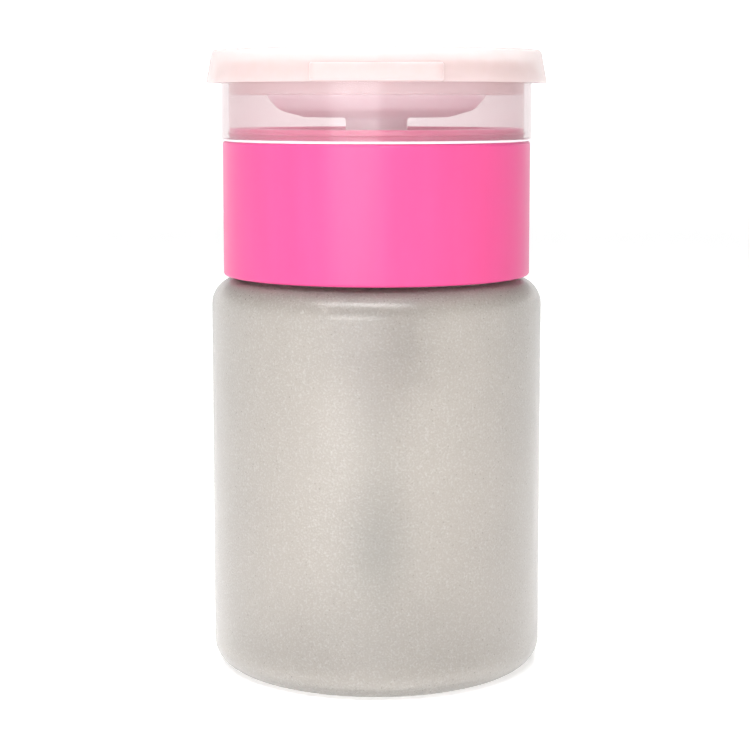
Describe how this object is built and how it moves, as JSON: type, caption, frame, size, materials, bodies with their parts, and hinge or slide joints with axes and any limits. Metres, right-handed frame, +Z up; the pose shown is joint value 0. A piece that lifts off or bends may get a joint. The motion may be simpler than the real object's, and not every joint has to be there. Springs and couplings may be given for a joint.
{
  "type": "pump oil bottle",
  "caption": "Small round frosted bottle with a screw collar, a spring-loaded press dish that pumps oil up through a nozzle, and a clear hinged flip lid.",
  "frame": {"origin": "centre of the flat ring under the bottle, on the surface it stands on", "axes": "+Z up along the bottle's axis, +Y towards the lid's hinge at the back, -Y towards the thumb tab at the front"},
  "size_m": [0.043, 0.0446, 0.0783],
  "materials": {
    "bottle": "frosted",
    "screw_collar": "glossy",
    "lid_ring": "clear",
    "living_hinge": "clear",
    "flip_lid": "clear",
    "press_dish": "satin",
    "nozzle_cap": "satin",
    "pump_stem": "satin",
    "piston_seal": "satin",
    "neck_gasket": "matte",
    "pump_housing": "satin",
    "housing_cap": "satin",
    "return_spring": "drawn wire",
    "suction_tube": "satin",
    "foot_valve": "satin",
    "valve_seat": "satin",
    "intake_tube": "satin",
    "inlet_ball": "polished",
    "outlet_ball": "polished"
  },
  "bodies": {
    "bottle_body": {"bottle": "bottle"},
    "pump_unit": {"neck_gasket": "neck_gasket", "pump_housing": "pump_housing", "housing_cap": "housing_cap", "return_spring": "return_spring", "suction_tube": "suction_tube", "foot_valve": "foot_valve", "valve_seat": "valve_seat", "intake_tube": "intake_tube"},
    "collar_unit": {"screw_collar": "screw_collar", "lid_ring": "lid_ring", "living_hinge": "living_hinge"},
    "lid": {"flip_lid": "flip_lid"},
    "plunger": {"press_dish": "press_dish", "nozzle_cap": "nozzle_cap", "pump_stem": "pump_stem", "piston_seal": "piston_seal"},
    "inlet_valve": {"inlet_ball": "inlet_ball"},
    "outlet_valve": {"outlet_ball": "outlet_ball"}
  },
  "joints": [
    {"name": "pump_lift", "type": "slide", "parent": "bottle_body", "child": "pump_unit", "axis": [0, 0, 1], "range_m": [0, 0.00635]},
    {"name": "collar_unscrew", "type": "hinge", "parent": "pump_unit", "child": "collar_unit", "pos_m": [0, 0, 0.0584], "axis": [0, 0, 1], "range_deg": [0, 540]},
    {"name": "lid_flip", "type": "hinge", "parent": "collar_unit", "child": "lid", "pos_m": [0, 0.02218, 0.07408], "axis": [-1, 0, 0], "range_deg": [0, 130], "deforming": ["living_hinge"]},
    {"name": "dish_press", "type": "slide", "parent": "pump_unit", "child": "plunger", "axis": [0, 0, 1], "range_m": [-0.0045, 0], "stiffness_N_per_m": 250, "springref_m": 0.01, "deforming": ["return_spring"]},
    {"name": "inlet_ball_lift", "type": "slide", "parent": "pump_unit", "child": "inlet_valve", "axis": [0, 0, 1], "range_m": [0, 0.0007]},
    {"name": "outlet_ball_lift", "type": "slide", "parent": "plunger", "child": "outlet_valve", "axis": [0, 0, 1], "range_m": [0, 0.0007]}
  ],
  "couplings": [
    {"joint": "pump_lift", "follows": "collar_unscrew", "m_per_rad": 0.0006737}
  ]
}
